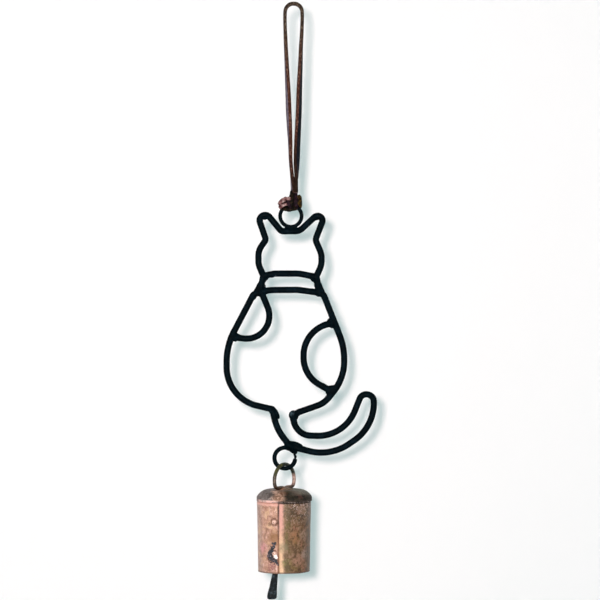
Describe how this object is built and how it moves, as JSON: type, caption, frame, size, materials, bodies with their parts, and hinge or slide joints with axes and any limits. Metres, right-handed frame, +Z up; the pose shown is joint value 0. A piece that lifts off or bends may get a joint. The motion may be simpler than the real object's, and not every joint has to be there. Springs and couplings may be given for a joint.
{
  "type": "hanging iron bell",
  "caption": "Hanging ornament: a leather lace holds a sitting cat bent from black iron rod, and a copper-washed sheet-iron bell with an iron clapper hangs from its tail.",
  "frame": {"origin": "the point where the inside of the lace's top rests on its hook", "axes": "+X right, +Y away from the viewer, +Z up; the iron figure lies in the XZ plane"},
  "size_m": [0.0805, 0.0294, 0.3142],
  "materials": {
    "lace_leather": "flat brown leather lace, worn dark, with red-brown cut edges",
    "cut_leather": "raw pale pink cut ends of the lace",
    "black_iron": "black paint with a faint blue sheen over round iron rod",
    "weld_metal": "lumpy weld beads under the same black paint",
    "bail_wire": "iron wire with a worn brassy wash, green-brown where it is dull",
    "braze": "orange-brown braze round the foot of the bail",
    "crown_sheet": "sheet iron with a dark grey-brown copper wash and a light worn rim",
    "barrel_sheet": "salmon copper wash over sheet iron, mottled olive and brown on the right",
    "rivet_metal": "copper-washed rivet heads, rubbed bright",
    "clapper_iron": "dark blue-grey forged iron"
  },
  "bodies": {
    "lace": {"hanging_lace": "lace_leather", "lace_knot": "lace_leather", "lace_ends": "cut_leather"},
    "figure": {"top_ring": "black_iron", "head_wire": "black_iron", "collar_upper_bar": "black_iron", "collar_lower_bar": "black_iron", "body_left_wire": "black_iron", "body_right_wire": "black_iron", "left_spot_wire": "black_iron", "right_spot_wire": "black_iron", "tail_wire": "black_iron", "collar_welds": "weld_metal", "body_welds": "weld_metal", "ring_welds": "weld_metal", "foot_ring": "black_iron"},
    "bell": {"bell_bail": "bail_wire", "bail_braze": "braze", "bell_crown": "crown_sheet", "bell_barrel": "barrel_sheet", "seam_rivets": "rivet_metal"},
    "clapper": {"clapper": "clapper_iron"}
  },
  "joints": [
    {"name": "frame_swing", "type": "hinge", "parent": "lace", "child": "figure", "pos_m": [-0.0013, 0, -0.10538], "axis": [1, 0, 0], "range_deg": [-30, 30]},
    {"name": "bell_swing", "type": "hinge", "parent": "figure", "child": "bell", "pos_m": [-0.00475, 0, -0.24376], "axis": [1, 0, 0], "range_deg": [-45, 45]},
    {"name": "clapper_swing", "type": "hinge", "parent": "bell", "child": "clapper", "pos_m": [-0.00475, 0, -0.26456], "axis": [0.6157, 0.788, 0], "range_deg": [-28.5, 8.5]}
  ]
}
